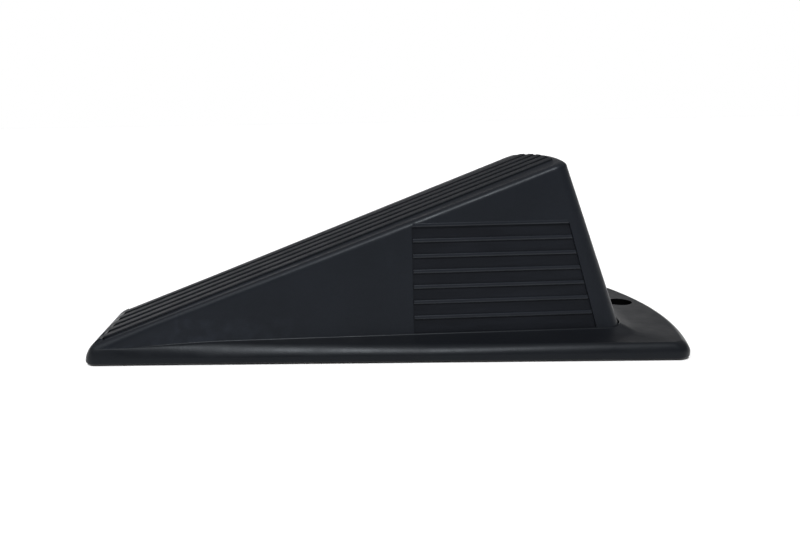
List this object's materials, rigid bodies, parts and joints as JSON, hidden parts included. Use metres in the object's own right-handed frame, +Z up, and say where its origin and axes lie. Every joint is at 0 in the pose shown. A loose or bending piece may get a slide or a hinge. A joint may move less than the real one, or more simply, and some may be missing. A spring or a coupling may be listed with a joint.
{
  "type": "door stop",
  "caption": "Free-standing wedge door stop with a ribbed sloping tread, ribbed side grips and a wider flat base plate whose rounded heel has a hole to hang it by.",
  "frame": {"origin": "on the floor, midway between the toe and the heel, on the centre plane", "axes": "+X along the length from the thin toe to the high heel end, +Y across the width, +Z up"},
  "size_m": [0.1714, 0.0892, 0.0534],
  "materials": {
    "body_plastic": "charcoal black, matt with a fine moulded grain",
    "plate_plastic": "charcoal black, matt, a little worn on its upper rim",
    "tread_rubber": "black, matt, scuffed on top",
    "grip_rubber": "black, matt",
    "sole_rubber": "black, matt, cross-grooved",
    "screw_steel": "zinc plated"
  },
  "bodies": {
    "root": {"wedge_shell": "body_plastic", "base_plate": "plate_plastic", "sole_pad": "sole_rubber", "side_grip_left": "grip_rubber", "side_grip_right": "grip_rubber", "base_screws": "screw_steel", "tread_strip_1": "tread_rubber", "tread_strip_2": "tread_rubber", "tread_strip_3": "tread_rubber", "tread_strip_4": "tread_rubber", "tread_strip_5": "tread_rubber"}
  },
  "joints": []
}
